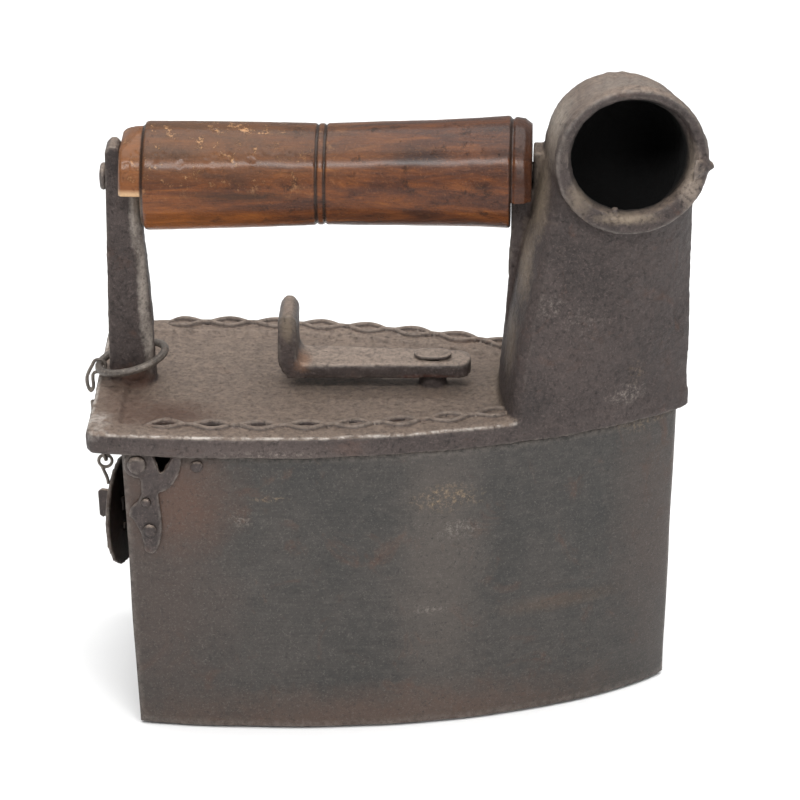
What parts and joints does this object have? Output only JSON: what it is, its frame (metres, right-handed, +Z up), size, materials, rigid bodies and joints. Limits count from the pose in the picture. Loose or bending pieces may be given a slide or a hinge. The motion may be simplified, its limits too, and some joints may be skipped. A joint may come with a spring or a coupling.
{
  "type": "charcoal chimney iron",
  "caption": "Antique charcoal iron with a tapered sheet-iron firebox, hinged cast lid, goose-neck chimney, turned wooden handle, swivel latch and heel draught door.",
  "frame": {"origin": "centre of the sole's underside, on the surface it stands on", "axes": "+X towards the toe, +Y away from the side that the chimney's mouth faces, +Z up along the firebox's height"},
  "size_m": [0.2149, 0.1038, 0.2318],
  "materials": {
    "sheet_iron": "dark oxidised sheet iron with rust and scuffs",
    "sole_iron": "worn dark iron",
    "cast_iron": "rough brown-grey casting with bright worn edges",
    "forged_iron": "forged iron with light rust",
    "wire": "bare iron wire, dull",
    "varnished_wood": "old glossy amber-brown varnish with chips"
  },
  "bodies": {
    "firebox": {"body_shell": "sheet_iron", "rear_panel": "sheet_iron", "sole_plate": "sole_iron", "grate": "sole_iron", "hinge_pin": "forged_iron", "latch_keeper": "forged_iron", "keeper_rivet": "forged_iron", "door_bracket": "forged_iron", "door_hinge_pin": "forged_iron", "bracket_rivet_1": "forged_iron", "bracket_rivet_2": "forged_iron", "hinge_strap_near": "forged_iron", "strap_rivet_lower_near": "forged_iron", "strap_rivet_upper_near": "forged_iron", "wall_rivet_near": "forged_iron", "hinge_strap_far": "forged_iron", "strap_rivet_lower_far": "forged_iron", "strap_rivet_upper_far": "forged_iron", "wall_rivet_far": "forged_iron"},
    "lid": {"lid_casting": "cast_iron", "handle_rod": "forged_iron", "handle_grip": "varnished_wood"},
    "latch": {"thumb_lever": "forged_iron", "latch_pin": "forged_iron", "latch_catch": "forged_iron"},
    "ring": {"post_ring": "wire"},
    "ring_link": {"upper_link": "wire"},
    "door": {"draught_door": "sheet_iron", "door_knob": "forged_iron", "door_rivet": "forged_iron"},
    "hook": {"door_hook": "wire"},
    "hook_link": {"lower_link": "wire"}
  },
  "joints": [
    {"name": "lid_hinge", "type": "hinge", "parent": "firebox", "child": "lid", "pos_m": [-0.0852, 0, 0.1004], "axis": [0, -1, 0], "range_deg": [0, 75]},
    {"name": "latch_turn", "type": "hinge", "parent": "lid", "child": "latch", "pos_m": [0.014, 0, 0.1185], "axis": [0, 0, 1], "range_deg": [0, 55]},
    {"name": "ring_lift", "type": "slide", "parent": "lid", "child": "ring", "axis": [0, 0, 1], "range_m": [0, 0.005]},
    {"name": "ring_link_swing", "type": "hinge", "parent": "ring", "child": "ring_link", "pos_m": [-0.10219, 0, 0.11579], "axis": [0, -1, 0], "range_deg": [-75, 0]},
    {"name": "door_swing", "type": "hinge", "parent": "firebox", "child": "door", "pos_m": [-0.09166, 0.024, 0.061], "axis": [0.0451, 0, -0.999], "range_deg": [-11.6, 90]},
    {"name": "hook_tilt", "type": "hinge", "parent": "door", "child": "hook", "pos_m": [-0.0996, -0.0025, 0.0716], "axis": [0, -1, 0], "range_deg": [0, 12]},
    {"name": "hook_link_fall", "type": "hinge", "parent": "hook", "child": "hook_link", "pos_m": [-0.1005, -0.0025, 0.08285], "axis": [1, 0, 0], "range_deg": [0, 120]}
  ],
  "couplings": [
    {"joint": "ring_link_swing", "follows": "lid_hinge", "ratio": -1},
    {"joint": "hook_link_fall", "follows": "lid_hinge", "ratio": 1.6}
  ]
}
